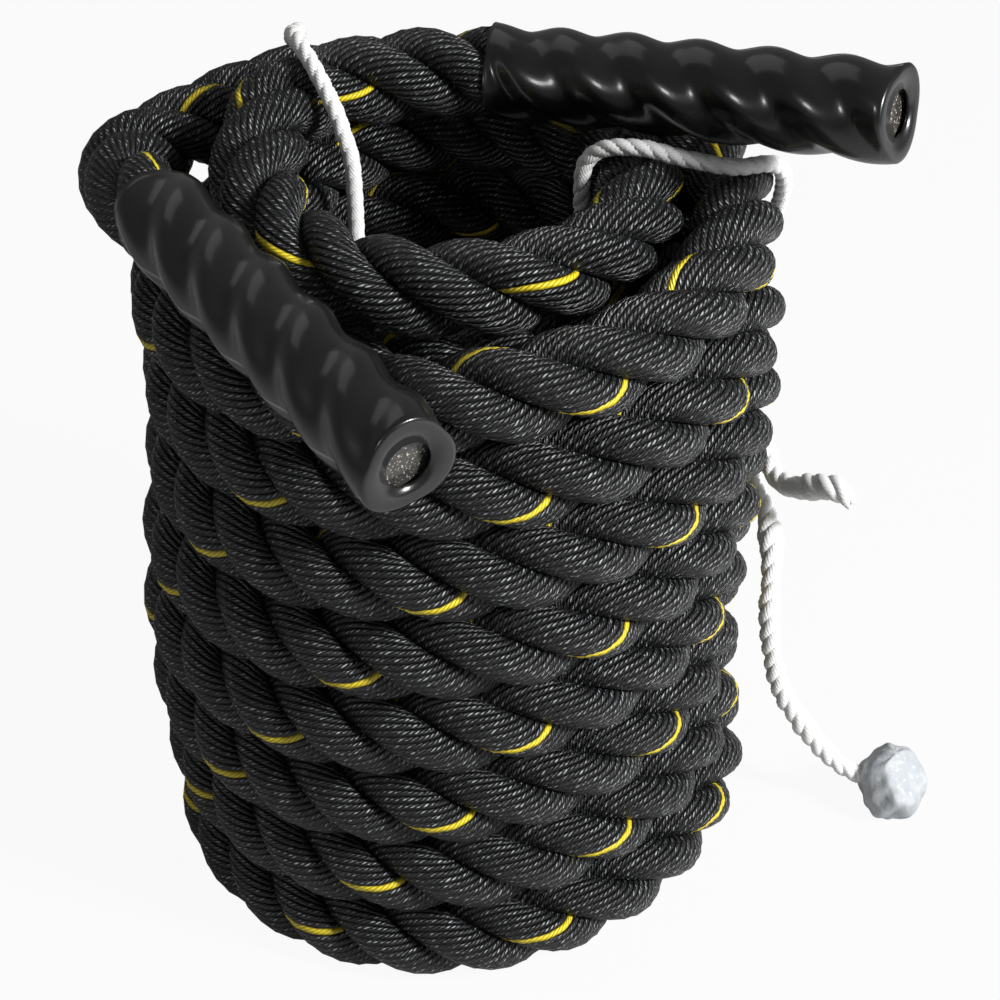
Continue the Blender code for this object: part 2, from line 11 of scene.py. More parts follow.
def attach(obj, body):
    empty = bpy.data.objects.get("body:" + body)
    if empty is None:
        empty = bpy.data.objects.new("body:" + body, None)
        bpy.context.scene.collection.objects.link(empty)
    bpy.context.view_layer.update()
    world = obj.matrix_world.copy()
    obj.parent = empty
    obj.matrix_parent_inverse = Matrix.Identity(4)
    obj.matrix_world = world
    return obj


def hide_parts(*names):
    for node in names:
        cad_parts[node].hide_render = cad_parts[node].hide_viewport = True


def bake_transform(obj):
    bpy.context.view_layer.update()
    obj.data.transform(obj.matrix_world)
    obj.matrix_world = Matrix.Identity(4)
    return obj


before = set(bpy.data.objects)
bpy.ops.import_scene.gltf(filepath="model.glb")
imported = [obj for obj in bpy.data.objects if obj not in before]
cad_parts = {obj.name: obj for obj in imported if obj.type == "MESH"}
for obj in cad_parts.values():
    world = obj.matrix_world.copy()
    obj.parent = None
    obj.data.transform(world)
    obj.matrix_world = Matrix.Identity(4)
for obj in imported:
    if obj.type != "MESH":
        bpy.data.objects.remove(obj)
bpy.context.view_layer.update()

# Camera: a long lens in front of the coil, looking down at it and rolled a little, as the photograph was
# taken. Its place is measured from the foot of the coil's axis.
COIL_AXIS = Vector((-0.04928, 0.03868, 0))
CAMERA_PLACE = COIL_AXIS + Vector((0.02817, -1.08548, 0.97609))
CAMERA_LOOK_DOWN = math.radians(34.5)
CAMERA_ROLL = math.radians(0.58)
camera_data = bpy.data.cameras.new("camera")
camera_data.sensor_width = 36
camera_data.lens = 78.48
camera = bpy.data.objects.new("camera", camera_data)
camera.matrix_world = (Matrix.Translation(CAMERA_PLACE)
                       @ Euler((math.radians(90) - CAMERA_LOOK_DOWN, 0, 0)).to_matrix().to_4x4()
                       @ Matrix.Rotation(CAMERA_ROLL, 4, "Z"))
bpy.context.scene.collection.objects.link(camera)
bpy.context.scene.camera = camera

# Rope: about 15 m of right-hand laid polyester rope, 50.8 mm thick. It has three strands of 14 outer yarns
# each, and one of the yarns is yellow. It is wound by hand into two layers, the outer one downward and the
# inner one upward, and its ends lie free. A level is one wrap's height above the wrap below it.
MM = 0.001
FULL_TURN = 2 * math.pi
ROPE_DIAMETER = 50.8 * MM
ROPE_RADIUS = ROPE_DIAMETER / 2
OUTER_RADIUS = 158 * MM
LAYER_GAP = 1.3 * MM
WRAP_GAP = 0.8 * MM
FLOOR_FLAT = ROPE_DIAMETER / 10
INNER_RADIUS = OUTER_RADIUS - ROPE_DIAMETER - LAYER_GAP
LEVEL_HEIGHT = ROPE_DIAMETER + WRAP_GAP
FLOOR_HEIGHT = ROPE_RADIUS - FLOOR_FLAT
POINTS_PER_TURN = 24
LAYER_TURNS = 8
START_TURNS = LAYER_TURNS + 6 / POINTS_PER_TURN
END_TURNS = LAYER_TURNS + 17 / POINTS_PER_TURN
CROSSING_ANGLE = math.radians(60)
CROSSING_SPAN_SHARE = 0.5
OUTER_LEVEL_SHARE = 0.5
INNER_LEVEL_SHARE = 0.55
INNER_LEAD_SHARE = 0.007
LOOSE_SIDE_ANGLE = math.radians(-45)
LOOSE_SHARE = 0.03
SETTLE_DEPTH = 4.5 * MM
SETTLE_REACH = math.radians(60)
OUTER_SETTLE_ANGLE = math.radians(35)
INNER_SETTLE_ANGLE = math.radians(85)
START_BULGE = 3 * MM
START_RISE = 6 * MM
BULGE_FROM_ANGLE = math.radians(90)
BULGE_TO_ANGLE = math.radians(135)
END_DRAW_IN = 4 * MM
DRAW_IN_STEPS = 5
START_STRAIGHT = ROPE_DIAMETER
FINISH_STRAIGHT = ROPE_DIAMETER / 4
SWAY = 6 * MM
SWAY_HEIGHT = 330 * MM

# The routes of the free ends, from the coil's end: in plan as shares of OUTER_RADIUS, and as rises.
LEFT_ROUTE_SHARES = [
    (-0.0443, -0.1709, 2 * MM), (-0.0253, -0.3481, 5 * MM), (0.038, -0.5, 8.5 * MM),
    (0.1266, -0.6266, 10.5 * MM), (0.3418, -0.9367, 4.5 * MM), (0.557, -1.2468, -1.5 * MM),
    (0.7722, -1.557, -7.5 * MM), (1.0063, -1.8924, -14 * MM),
]
RIGHT_ROUTE_SHARES = [
    (0.057, 0.1139, 2 * MM), (0.1899, 0.1772, 5 * MM), (0.3797, 0.2152, 9.5 * MM),
    (0.5886, 0.2342, 12 * MM), (0.8101, 0.2089, 14 * MM), (1.0633, 0.0633, 21 * MM),
    (1.3228, -0.0886, 28 * MM), (2.1013, -0.5696, 47 * MM),
]
CURVE_STEPS = 24


def smooth(share):
    """Eases from 0 to 1, level at both ends."""
    share = min(max(share, 0.0), 1.0)
    return share * share * (3 - 2 * share)


def levels(turns, level_share):
    """Wraps below this one: each wrap lies level first and then climbs over the start of its own turn."""
    whole = math.floor(turns)
    climbed = max(0, (turns - whole - level_share) / (1 - level_share))
    return whole + (climbed + smooth(climbed)) / 2


def settling(angle, centre):
    """How far wraps sink into the room beside the crossing, around one angle."""
    away = abs(math.remainder(angle - centre, FULL_TURN)) / SETTLE_REACH
    return SETTLE_DEPTH * smooth(1 - away)


def on_circle(radius, angle, height):
    """A place round the coil's axis. The coil leans a little to one side and back again as it rises."""
    radius += SWAY * math.cos(FULL_TURN * height / SWAY_HEIGHT) * math.cos(angle)
    return Vector((radius * math.cos(angle), radius * math.sin(angle), height))


def coil_point(turns):
    """The rope's centre, by turns from the middle of the crossing: negative on the outer layer, above zero
    on the inner one. Seen from above the rope runs clockwise."""
    angle = CROSSING_ANGLE - FULL_TURN * turns
    radius = OUTER_RADIUS + (INNER_RADIUS - OUTER_RADIUS) * smooth(turns / CROSSING_SPAN_SHARE + 1 / 2)
    if turns >= 0:
        level = levels(turns * (1 + INNER_LEAD_SHARE), INNER_LEVEL_SHARE)
        height = LEVEL_HEIGHT * level - settling(angle, INNER_SETTLE_ANGLE) * min(level, 1)
        radius -= END_DRAW_IN * smooth((turns - END_TURNS) * POINTS_PER_TURN / DRAW_IN_STEPS + 1)
    else:
        level = levels(-turns, OUTER_LEVEL_SHARE)
        facing = (1 + math.cos(angle - LOOSE_SIDE_ANGLE)) / 2
        height = LEVEL_HEIGHT * (1 + LOOSE_SHARE * facing) * level
        height -= settling(angle, OUTER_SETTLE_ANGLE) * min(level, 1)
    if -turns > LAYER_TURNS:
        reach = (angle - FULL_TURN * LAYER_TURNS - BULGE_FROM_ANGLE) / (BULGE_TO_ANGLE - BULGE_FROM_ANGLE)
        radius += START_BULGE * smooth(reach)
        height += START_RISE * smooth(reach)
    return on_circle(radius, angle, FLOOR_HEIGHT + height)


def smooth_curve(points, start=None, closed=False):
    """Many points along a smooth curve through a route's own points. start is the way it leaves in."""
    knots = [Vector(p) for p in points]
    if closed:
        knots = knots[-1:] + knots + knots[:2]
    else:
        before = knots[0] - start * (knots[1] - knots[0]).length if start else 2 * knots[0] - knots[1]
        knots = [before] + knots + [2 * knots[-1] - knots[-2]]
    fine = []
    for a, b, c, d in zip(knots, knots[1:], knots[2:], knots[3:]):
        for i in range(CURVE_STEPS):
            t = i / CURVE_STEPS
            fine.append((2 * b + (c - a) * t + (2 * a - 5 * b + 4 * c - d) * t * t
                         + (3 * b - a - 3 * c + d) * t ** 3) / 2)
    fine.append(knots[-2])
    return fine


def free_end(steps, first, second):
    """The route of a free end from the coil's first point there, leaving in line with its second one."""
    route = [first] + [first + Vector((x * OUTER_RADIUS, y * OUTER_RADIUS, rise)) for x, y, rise in steps]
    return smooth_curve(route, start=(first - second).normalized())


def rope_route():
    """The rope's centre line from the left grip's tip to the right grip's, and the coil's inner end."""
    count = round((START_TURNS + END_TURNS) * POINTS_PER_TURN)
    coil = [coil_point(i / POINTS_PER_TURN - START_TURNS) for i in range(count + 1)]
    coil.insert(0, coil[0] + (coil[0] - coil[1]).normalized() * START_STRAIGHT)
    coil.append(coil[-1] + (coil[-1] - coil[-2]).normalized() * FINISH_STRAIGHT)
    left = free_end(LEFT_ROUTE_SHARES, coil[0], coil[1])
    right = free_end(RIGHT_ROUTE_SHARES, coil[-1], coil[-2])
    return left[:0:-1] + smooth_curve(coil) + right[1:], coil[-1]


def route_length(route):
    return sum((b - a).length for a, b in zip(route, route[1:]))


def unit(rows):
    return rows / np.linalg.norm(rows, axis=1, keepdims=True)


class Line:
    """Points along a route at given distances, with the direction ahead and two directions across it that
    don't turn about it."""

    def __init__(self, route, places):
        self.places = places
        route = np.array([tuple(p + COIL_AXIS) for p in route])
        along = np.concatenate([[0], np.cumsum(np.linalg.norm(np.diff(route, axis=0), axis=1))])
        self.points = np.stack([np.interp(places, along, route[:, i]) for i in range(3)], axis=1)
        self.ahead = unit(np.gradient(self.points, axis=0))
        self.across = np.empty_like(self.ahead)
        side = np.cross(self.ahead[0], (0, 0, 1.0))
        for i, ahead in enumerate(self.ahead):
            side = side - ahead * side.dot(ahead)
            side /= np.linalg.norm(side)
            self.across[i] = side
        self.beyond = np.cross(self.ahead, self.across)

    def part(self, first, last):
        """The same line between two of its points, with its distances as they are."""
        piece = object.__new__(Line)
        keep = slice(first, last)
        piece.places, piece.points = self.places[keep], self.points[keep]
        piece.ahead, piece.across, piece.beyond = self.ahead[keep], self.across[keep], self.beyond[keep]
        return piece

    def round_at(self, angles):
        """The directions across the line at some angle for each point."""
        return self.across * np.cos(angles)[:, None] + self.beyond * np.sin(angles)[:, None]


ROW_MARGIN = 0.03
ROWS_TOP = 0.97
DISC_RADIUS = 0.01


def unrolled(ring, k, tubes):
    """The k-th tube's surface laid out flat for the picture that its looks are baked into: cut into rows as
    long as the picture is wide and stacked, with the tube's two end faces as small discs above them."""
    stations, sides = ring.shape[:2]
    length = np.linalg.norm(np.diff(ring[:, 0], axis=0), axis=1).sum()
    girth = np.linalg.norm(np.diff(ring[stations // 2], axis=0), axis=1).sum()
    rows = max(1, round(math.sqrt(length / girth / tubes)))
    span = (stations - 1) / rows
    i, j = np.meshgrid(np.arange(stations - 1), np.arange(sides), indexing="ij")
    row = np.floor(i / span)
    corners = []
    for ahead, beside in ((0, 0), (0, 1), (1, 1), (1, 0)):
        along = (i + ahead - row * span) / (span + 1)
        across = ROW_MARGIN + (1 - 2 * ROW_MARGIN) * (j + beside) / sides
        corners.append(np.stack([along, ROWS_TOP * (k * rows + row + across) / (tubes * rows)], axis=-1))
    turn = FULL_TURN * np.arange(sides) / sides
    disc = DISC_RADIUS * np.stack([np.cos(turn), np.sin(turn)], axis=1)
    first, last = (disc + ((2 * k + end + 0.5) / (2 * tubes), (1 + ROWS_TOP) / 2) for end in (0, 1))
    return [np.stack(corners, axis=2).reshape(-1, 2), first[::-1], last]


def grid_mesh(name, rings, texture, numbers):
    """One closed tube for each grid of points in rings (stations, sides, 3). texture holds the same grids
    with one more side, as two texture coordinates, and numbers each tube's own number. The layer OFBake
    holds the tubes laid out flat for baking."""
    vertices, faces, corners, strands, flat_corners = [], [], [], [], []
    base = 0
    for k, (ring, uv) in enumerate(zip(rings, texture)):
        stations, sides = ring.shape[:2]
        vertices.append(ring.reshape(-1, 3))
        strands.append(np.full(stations * sides, numbers[k], dtype=float))
        i, j = np.meshgrid(np.arange(stations - 1), np.arange(sides), indexing="ij")
        here, ahead = i * sides, (i + 1) * sides
        after = (j + 1) % sides
        quads = np.stack([here + j, here + after, ahead + after, ahead + j], axis=-1)
        faces.extend((quads.reshape(-1, 4) + base).tolist())
        quad_corners = [uv[i, j], uv[i, j + 1], uv[i + 1, j + 1], uv[i + 1, j]]
        corners.append(np.stack(quad_corners, axis=2).reshape(-1, 2))
        for row, order in ((0, range(sides - 1, -1, -1)), (stations - 1, range(sides))):
            faces.append([base + row * sides + s for s in order])
            corners.append(np.stack([uv[row, s] for s in order]))
        flat_corners.extend(unrolled(ring, k, len(rings)))
        base += stations * sides
    mesh = bpy.data.meshes.new(name)
    mesh.from_pydata(np.concatenate(vertices).tolist(), [], faces)
    for layer_name, layer_corners in (("yarns", corners), ("OFBake", flat_corners)):
        layer = mesh.uv_layers.new(name=layer_name)
        layer.uv.foreach_set("vector", np.concatenate(layer_corners).astype(np.float32).ravel())
    number = mesh.attributes.new("strand", "FLOAT", "POINT")
    number.data.foreach_set("value", np.concatenate(strands).astype(np.float32))
    mesh.shade_smooth()
    piece = bpy.data.objects.new(name, mesh)
    bpy.context.scene.collection.objects.link(piece)
    return piece


# The lay: how far along the rope a strand goes once round, where the first strand starts, and how the yarns
# run on a strand. The last shares are a strand's offset from the rope's middle and its radius, of the rope's
# diameter.
STRANDS = 3
LAY_LENGTH = 128.35 * MM
ROPE_PHASE_SHARE = 0.727
ROPE_YARNS = 14
YARN_TURNS = 2.975
TRACER_PLACE_SHARE = 0.1241
OUTSIDE_CROWDING = 0.15
ROPE_SHARES = (0.273, 0.242)


def strand_angles(places, lay_length, k):
    """The angle at which the k-th strand lies round the rope, at each place along it."""
    return FULL_TURN * (places / lay_length + ROPE_PHASE_SHARE + k / STRANDS)


def strand_grids(line, diameter, lay_length, angles, yarns, swell=None, shares=ROPE_SHARES):
    """Rings of points round each strand of a laid rope, and the texture grid: yarns counted round the
    strand, which lean a little against the lay on its outside, and metres along the strand."""
    offset, radius = (share * diameter for share in shares)
    size = np.ones(len(line.places)) if swell is None else swell
    rings, texture = [], []
    lean = math.hypot(1, FULL_TURN * offset / lay_length)
    wrapped = np.append(angles, angles[0] + FULL_TURN)
    crowded = wrapped + OUTSIDE_CROWDING * np.sin(wrapped)
    for k in range(STRANDS):
        outward = line.round_at(strand_angles(line.places, lay_length, k))
        centre = line.points + outward * (offset * size)[:, None]
        ahead = unit(np.gradient(centre, axis=0))
        outward = unit(outward - ahead * np.sum(outward * ahead, axis=1, keepdims=True))
        sideways = np.cross(ahead, outward)
        around = (np.cos(angles)[None, :, None] * outward[:, None]
                  + np.sin(angles)[None, :, None] * sideways[:, None])
        rings.append(centre[:, None] + radius * size[:, None, None] * around)
        twisted = YARN_TURNS * line.places[:, None] / lay_length - TRACER_PLACE_SHARE
        turned = crowded[None, :] / FULL_TURN + twisted
        metres = np.repeat(line.places[:, None] * lean, len(wrapped), axis=1)
        texture.append(np.stack([yarns * turned, metres], axis=-1))
    return rings, texture


def flatten_on_floor(rings):
    for ring in rings:
        ring[..., 2] = np.maximum(ring[..., 2], 0)


class Socket:
    """One output of a shader node. Arithmetic on it adds Math nodes."""

    def __init__(self, tree, output):
        self.tree, self.output = tree, output

    def part(self, name):
        """Another output of the same node."""
        return Socket(self.tree, self.output.node.outputs[name])

    def math(self, operation, *others):
        return add_node(self.tree, "ShaderNodeMath", {"operation": operation}, [self, *others])

    def __add__(self, other):
        return self.math("ADD", other)

    def __sub__(self, other):
        return self.math("SUBTRACT", other)

    def __mul__(self, other):
        return self.math("MULTIPLY", other)

    def __truediv__(self, other):
        return self.math("DIVIDE", other)

    def __rsub__(self, other):
        return add_node(self.tree, "ShaderNodeMath", {"operation": "SUBTRACT"}, [other, self])

    __radd__, __rmul__ = __add__, __mul__

    def eased(self, low, high):
        """0 at low, 1 at high and smooth between, and level beyond them."""
        return add_node(self.tree, "ShaderNodeMapRange", {"interpolation_type": "SMOOTHSTEP"},
                        {"Value": self, "From Min": low, "From Max": high})

    def mix(self, first, second):
        """Goes from the first colour to the second as this goes from 0 to 1."""
        return add_node(self.tree, "ShaderNodeMix", {"data_type": "RGBA"},
                        {0: self, 6: first, 7: second}, 2)


def add_node(tree, kind, settings, inputs, output=0):
    """A node of some kind with its settings, and with a value or a link for each of its inputs."""
    node = tree.nodes.new(kind)
    for name, value in settings.items():
        setattr(node, name, value)
    for key, value in (inputs.items() if isinstance(inputs, dict) else enumerate(inputs)):
        if isinstance(value, Socket):
            tree.links.new(value.output, node.inputs[key])
        elif isinstance(value, tuple) and len(value) == 3 and node.inputs[key].type == "RGBA":
            node.inputs[key].default_value = (*value, 1)
        else:
            node.inputs[key].default_value = value
    return Socket(tree, node.outputs[output])


def new_material(name, **values):
    """A material with its Principled shader's own values set. Returns it, its tree and the shader."""
    surface = bpy.data.materials.new(name)
    surface.use_nodes = True
    tree = surface.node_tree
    shader = tree.nodes["Principled BSDF"]
    for key, value in values.items():
        shader.inputs[key.replace("_", " ")].default_value = value
    return surface, tree, shader


def connect(shader, **values):
    """Links what changes over the surface to the shader."""
    for key, value in values.items():
        value.tree.links.new(value.output, shader.inputs[key.replace("_", " ")])


def noise(tree, vector, scale, detail=2.0):
    return add_node(tree, "ShaderNodeTexNoise", {"noise_dimensions": "3D"},
                    {"Vector": vector, "Scale": scale, "Detail": detail})


def bumped(tree, strength, height):
    """The surface's direction, with the height in millimetres standing out from it."""
    return add_node(tree, "ShaderNodeBump", {}, {"Strength": strength, "Distance": MM, "Height": height})


def surface_grid(tree):
    """The texture grid's first coordinate. Its second one is the part Y."""
    texture = add_node(tree, "ShaderNodeUVMap", {"uv_map": "yarns"}, {})
    return add_node(tree, "ShaderNodeSeparateXYZ", {}, [texture])


def yarn_places(tree):
    """The count of yarns up to a point, its metres along them, its place across its own yarn, from -1 to 1,
    and that yarn's round height there."""
    count = surface_grid(tree)
    across = (count.math("FRACT") - 0.5) * 2
    return count, count.part("Y"), across, (1 - across * across).math("SQRT")


def yarn_noise(tree, count, metres, per_yarn, per_metre, detail, shift=0):
    """Noise that is stretched along the yarns."""
    place = add_node(tree, "ShaderNodeCombineXYZ", {}, [count * per_yarn, metres * per_metre, shift])
    return noise(tree, place, 1, detail)


PLIES_PER_METRE = 430
PLY_SLANT = 0.4


def rope_material():
    """Black yarns of twisted plies, with painted shade in the grooves and painted highlights as small glints
    on the plies' crests. The first yarn of the first strand is yellow."""
    surface, tree, shader = new_material("rope_yarn", Specular_IOR_Level=0.6, IOR=1.5)
    count, metres, across, ridge = yarn_places(tree)
    across_ply = ((metres * PLIES_PER_METRE + across * PLY_SLANT).math("FRACT") - 0.5) * 2
    crest = ridge * (1 - across_ply * across_ply).math("SQRT")
    fibres = yarn_noise(tree, count, metres, per_yarn=9, per_metre=900, detail=3)
    # Painted highlights: this noise places small grey glints of light on the plies' crests.
    painted_glint_noise = yarn_noise(tree, count, metres, per_yarn=1.7, per_metre=260, detail=2, shift=3)
    # Painted shade: the groove colours, in black and in yellow, darken the grooves between the yarns and
    # plies.
    painted_groove_shade_black, crest_black = (0.0005, 0.0005, 0.0006), (0.014, 0.015, 0.0165)
    # Painted highlight colour for the glints on the plies' crests.
    painted_glint_grey = (0.36, 0.375, 0.39)
    painted_groove_shade_yellow, crest_yellow = (0.50, 0.36, 0.008), (0.92, 0.74, 0.03)
    black = (crest * (fibres + 0.5)).eased(0.5, 1.0).mix(painted_groove_shade_black, crest_black)
    black = (crest * (painted_glint_noise + 0.5)).eased(0.92, 1.12).mix(black, painted_glint_grey)
    tracer = crest.eased(0.2, 0.8).mix(painted_groove_shade_yellow, crest_yellow)
    yarn_number = (count / ROPE_YARNS).math("FRACT") * ROPE_YARNS
    strand = add_node(tree, "ShaderNodeAttribute", {"attribute_name": "strand"}, {}, "Fac")
    yellow = yarn_number.math("LESS_THAN", 1) * strand.math("LESS_THAN", 0.5)
    bump = bumped(tree, 1.0, ridge * 1.6 + crest * 0.8 + fibres * 0.3)
    connect(shader, Base_Color=yellow.mix(black, tracer), Roughness=fibres * 0.2 + 0.3, Normal=bump)
    return surface


def evenly(first, last, step):
    """Places from first up to last, last itself left out, about a step apart."""
    return np.linspace(first, last, max(2, round((last - first) / step)), endpoint=False)


# The rope's rings lie closer together in the grips, and a ring's points on the outside of the strand.
SLEEVE_LENGTH = 245 * MM
ROPE_STEP = 7 * MM
END_STEP = ROPE_STEP / 2
ROPE_SIDES = np.radians([-100, -78, -57, -38, -19, 0, 19, 38, 57, 78, 100, 135, 180, 225])

rope_yarn = rope_material()
route, inner_end = rope_route()
total = route_length(route)
mouth_left, mouth_right = SLEEVE_LENGTH, total - SLEEVE_LENGTH
left_places = evenly(0, mouth_left, END_STEP)
free_places = evenly(mouth_left, mouth_right, ROPE_STEP)
right_places = evenly(mouth_right, total, END_STEP)
rope_line = Line(route, np.concatenate([left_places, free_places, right_places, [total]]))
left_at = len(left_places)
right_at = left_at + len(free_places)
free_line = rope_line.part(left_at, right_at + 1)
rings, texture = strand_grids(free_line, ROPE_DIAMETER, LAY_LENGTH, ROPE_SIDES, ROPE_YARNS)
flatten_on_floor(rings)
rope = grid_mesh("rope", rings, texture, range(STRANDS))
rope.data.materials.append(rope_yarn)
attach(rope, "coil")
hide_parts("rope_coil", "rope_tail_left", "rope_tail_right")

# Grips: glossy black shrink tube, 1.8 mm thick, shrunk on 245 mm of each end so that the strands stand out
# under it and the rope is drawn in a little. It folds in over the rope's end and leaves a round hole.
SLEEVE_CREST_RADIUS = 27.2 * MM
SLEEVE_GROOVE_RADIUS = 23.4 * MM
SLEEVE_WALL = 1.8 * MM
CREST_SHARPNESS = 0.8
MOUTH_FLARE_SHARE = 0.03
MOUTH_FLARE_REACH = 6 * MM
HOLE_RADIUS = 12.5 * MM
SLEEVE_ANGLES = np.radians(np.arange(0, 360, 5))
SEAM_PLACE_SHARE = 165 / 360
BEND_STEPS = 25
ROPE_SHORT_STEPS = 4
SQUEEZE_SHARE = 0.07
SQUEEZE_REACH = 8 * MM

# The folded end's rings: how far each lies from the hole to the sleeve's outside, and how far it stands
# out beyond the last station.
FOLD_SHARES = [(0.95, 0.9 * MM), (0.8, 1.3 * MM), (0.6, 1.0 * MM), (0.0, 0.5 * MM), (0.0, -1.2 * MM),
               (0.5, -1.0 * MM)]


def sleeve_material():
    """Black tube with uneven gloss, and a thin raised seam along its outside."""
    surface, tree, shader = new_material("shrink_tube", Coat_Weight=0.5, Coat_Roughness=0.12)
    place = add_node(tree, "ShaderNodeTexCoord", {}, {}, "Object")
    cloud = noise(tree, place, 40, 3)
    grain = noise(tree, place, 700, 2)
    around = surface_grid(tree)
    outside = around.part("Y").math("GREATER_THAN", 0.99)
    wandering = noise(tree, place, 25, 1) * 0.012
    seam = (around - SEAM_PLACE_SHARE + wandering).math("ABSOLUTE").eased(0.011, 0.004) * outside
    deep_black, pale_black, seam_grey = (0.004, 0.004, 0.0045), (0.012, 0.012, 0.0125), (0.22, 0.22, 0.22)
    bump = bumped(tree, 0.6, cloud * 0.5 + grain * 0.05 + seam * 0.8)
    connect(shader, Base_Color=seam.mix(cloud.mix(deep_black, pale_black), seam_grey),
            Roughness=cloud * 0.15 + 0.2, Normal=bump)
    return surface


def sleeve_radius(turned, out):
    """The tube's outer radius at an angle from the first strand and a distance from the mouth."""
    lobe = (0.5 + 0.5 * np.cos(STRANDS * turned)) ** CREST_SHARPNESS
    radius = SLEEVE_GROOVE_RADIUS + (SLEEVE_CREST_RADIUS - SLEEVE_GROOVE_RADIUS) * lobe
    return radius * (1 + MOUTH_FLARE_SHARE * np.exp(-out / MOUTH_FLARE_REACH))


shrink_tube = sleeve_material()


def make_sleeve(side, line, out, tip):
    """The tube as rings of points, from the mouth along the outside, round the folded end and back along the
    inside. out is each station's distance from the mouth, and tip is +1 where the line runs on towards the
    rope's tip. The texture grid is 0 to 1 round the tube, and 1 on its outside."""
    order = range(len(line.places))[::tip]
    strand = strand_angles(line.places, LAY_LENGTH, 0)
    rings = []

    def add_ring(i, radii, ahead=0.0):
        around = (np.cos(SLEEVE_ANGLES)[:, None] * line.across[i]
                  + np.sin(SLEEVE_ANGLES)[:, None] * line.beyond[i])
        rings.append(line.points[i] + around * radii[:, None] + line.ahead[i] * (ahead * tip))

    outer = {i: sleeve_radius(SLEEVE_ANGLES - strand[i], out[i]) for i in order}
    for i in order:
        add_ring(i, outer[i])
    end = order[-1]
    for share, ahead in FOLD_SHARES:
        add_ring(end, HOLE_RADIUS + (outer[end] - HOLE_RADIUS) * share, ahead)
    for i in reversed(order):
        add_ring(i, outer[i] - SLEEVE_WALL)
    rings.append(rings[0])
    grid = np.array(rings)
    if tip < 0:
        grid = grid[:, ::-1]
    uv = np.zeros((len(grid), len(SLEEVE_ANGLES) + 1, 2))
    uv[..., 0] = np.linspace(0, 1, len(SLEEVE_ANGLES) + 1)[::tip]
    uv[:len(order), :, 1] = 1
    piece = grid_mesh(f"sleeve_{side}", [grid], [uv], [0])
    piece.data.materials.append(shrink_tube)
    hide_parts(f"grip_sleeve_{side}")
    mouth = Vector(line.points[order[0]])
    bent = Vector(line.points[order[BEND_STEPS]])
    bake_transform(piece)
    return piece, mouth, bent


def make_rope_end(side, line, out):
    """The rope inside the sleeve."""
    swell = 1 - SQUEEZE_SHARE * (1 - np.exp(-out / SQUEEZE_REACH))
    rings, texture = strand_grids(line, ROPE_DIAMETER, LAY_LENGTH, ROPE_SIDES, ROPE_YARNS, swell)
    piece = grid_mesh(f"rope_inside_{side}", rings, texture, range(STRANDS))
    piece.data.materials.append(rope_yarn)
    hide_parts(f"rope_end_{side}")
    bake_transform(piece)


def make_grip(side, line, mouth_place, tip):
    """A sleeve and the rope's end in it, which stops a little short of the folded end."""
    out = np.abs(line.places - mouth_place)
    sleeve, mouth, bent = make_sleeve(side, line, out, tip)
    first, last = (ROPE_SHORT_STEPS, None) if tip < 0 else (None, -ROPE_SHORT_STEPS)
    make_rope_end(side, line.part(first, last), out[first:last])
    return sleeve


make_grip("left", rope_line.part(0, left_at + 1), mouth_left, -1)
sleeve_right = make_grip("right", rope_line.part(right_at, None), mouth_right, 1)


# Fused ends: the cut faces of the rope, melted so that the yarns don't come apart. Dark, lumpy and glassy,
# with pale specks of single yarns. They are the frame's own solids with this material.
def fused_material():
    surface, tree, shader = new_material("fused_yarn", Coat_Weight=0.5, Coat_Roughness=0.1)
    place = add_node(tree, "ShaderNodeTexCoord", {}, {}, "Object")
    specks = noise(tree, place, 900, 1).eased(0.62, 0.7)
    cloud = noise(tree, place, 160, 2)
    melted_black, melted_grey, speck_colour = (0.02, 0.02, 0.02), (0.07, 0.068, 0.064), (0.6, 0.52, 0.40)
    connect(shader, Base_Color=specks.mix(cloud.mix(melted_black, melted_grey), speck_colour),
            Roughness=cloud * 0.2 + 0.15, Normal=bumped(tree, 0.8, cloud * 1.5))
    return surface


fused_yarn = fused_material()
for side in ("left", "right"):
    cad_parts[f"fused_end_{side}"].material_slots[0].material = fused_yarn

# Ties: white three-strand cotton cord, 10 mm thick where it is pulled tight. Each goes over both layers,
# down inside the coil, under it and up outside again, and is knotted there.
TIE_DIAMETER = 10 * MM
TIE_RADIUS = TIE_DIAMETER / 2
TIE_FIT = 1.5 * MM
TIE_FLOOR_GAP = 2.2 * MM
TIE_REACH = ROPE_RADIUS + TIE_FIT + TIE_RADIUS
UNDER_HEIGHT = TIE_FLOOR_GAP + TIE_RADIUS
OUTSIDE_RADIUS = OUTER_RADIUS + TIE_REACH
INSIDE_RADIUS = INNER_RADIUS - TIE_REACH
RIGHT_LEG_ANGLE = math.radians(30)
RIGHT_SHOULDER_ANGLE = math.radians(9)
RIGHT_CREST_ANGLE = math.radians(-4)
RIGHT_INSIDE_ANGLE = math.radians(7)
BACK_LEG_ANGLE = math.radians(121)
BACK_CREST_ANGLE = math.radians(143)
BACK_INSIDE_ANGLE = math.radians(157)
BACK_OUTSIDE_SLACK = 3 * MM
BACK_INSIDE_SLACK = 14 * MM
RIGHT_KNOT_HEIGHT = 240 * MM
BACK_KNOT_HEIGHT = 250 * MM
KNOT_RING_RADIUS = 11 * MM
KNOT_TUBE_RADIUS = 5.6 * MM
KNOT_POINTS = 48
KNOT_LOBES = 3
KNOT_PRESS = 0.45 * MM


def top_height(angle, outside):
    """The height of the highest wrap's centre at an angle, on the outer or the inner layer."""
    turns_on = (angle - CROSSING_ANGLE) / FULL_TURN
    return coil_point(-(LAYER_TURNS + turns_on) if outside else LAYER_TURNS - turns_on).z


